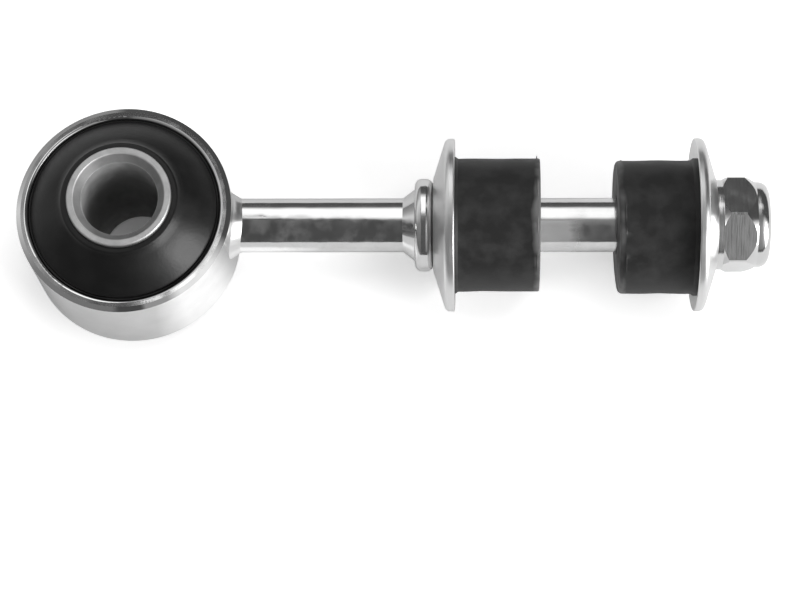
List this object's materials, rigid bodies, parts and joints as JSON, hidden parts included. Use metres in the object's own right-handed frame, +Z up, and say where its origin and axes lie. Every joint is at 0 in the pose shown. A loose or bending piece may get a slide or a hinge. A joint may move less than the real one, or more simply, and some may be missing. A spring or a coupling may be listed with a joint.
{
  "type": "stabilizer link",
  "caption": "Stabilizer link with a rubber-bushed steel eye welded to a rod, and a threaded stud with dished washers, rubber cushions and a lock nut.",
  "frame": {"origin": "centre of the eye's bore, half way along the sleeve", "axes": "+Z up along the bore, +X along the rod from the eye to the stud; the link lies on a floor at z = -16 mm"},
  "size_m": [0.138, 0.0394, 0.032],
  "materials": {
    "zinc_plated_steel": "bright zinc plate",
    "turned_steel": "turned, phosphated",
    "bush_rubber": "moulded, satin",
    "cushion_rubber": "moulded, matte",
    "nylon": "moulded nylon"
  },
  "bodies": {
    "link": {"eye_ring": "zinc_plated_steel", "weld_bead": "zinc_plated_steel", "link_rod": "zinc_plated_steel", "bush_rubber": "bush_rubber"},
    "sleeve": {"inner_sleeve": "turned_steel"},
    "washer_inner": {"inner_washer": "zinc_plated_steel"},
    "cushion_inner": {"inner_cushion": "cushion_rubber"},
    "cushion_outer": {"outer_cushion": "cushion_rubber"},
    "washer_outer": {"outer_washer": "zinc_plated_steel"},
    "nut": {"lock_nut": "zinc_plated_steel", "nut_insert": "nylon"}
  },
  "joints": [
    {"name": "bush_twist", "type": "hinge", "parent": "link", "child": "sleeve", "pos_m": [0, 0, 0], "axis": [0, 0, 1], "range_deg": [-20, 20], "stiffness_Nm_per_rad": 25},
    {"name": "inner_washer_turn", "type": "hinge", "parent": "link", "child": "washer_inner", "pos_m": [0.0574, 0, 0], "axis": [1, 0, 0], "continuous": true},
    {"name": "inner_cushion_slide", "type": "slide", "parent": "link", "child": "cushion_inner", "axis": [1, 0, 0], "range_m": [0, 0.006]},
    {"name": "outer_cushion_travel", "type": "slide", "parent": "link", "child": "cushion_outer", "axis": [1, 0, 0], "range_m": [-0.00751, 0.00938]},
    {"name": "outer_washer_travel", "type": "slide", "parent": "link", "child": "washer_outer", "axis": [1, 0, 0], "range_m": [-0.00751, 0.00938]},
    {"name": "nut_turn", "type": "hinge", "parent": "washer_outer", "child": "nut", "pos_m": [0.11, 0, 0], "axis": [1, 0, 0], "range_deg": [-2160, 2700]}
  ],
  "couplings": [
    {"joint": "outer_washer_travel", "follows": "nut_turn", "m_per_rad": 0.00019894},
    {"joint": "outer_cushion_travel", "follows": "nut_turn", "m_per_rad": 0.00019894}
  ]
}
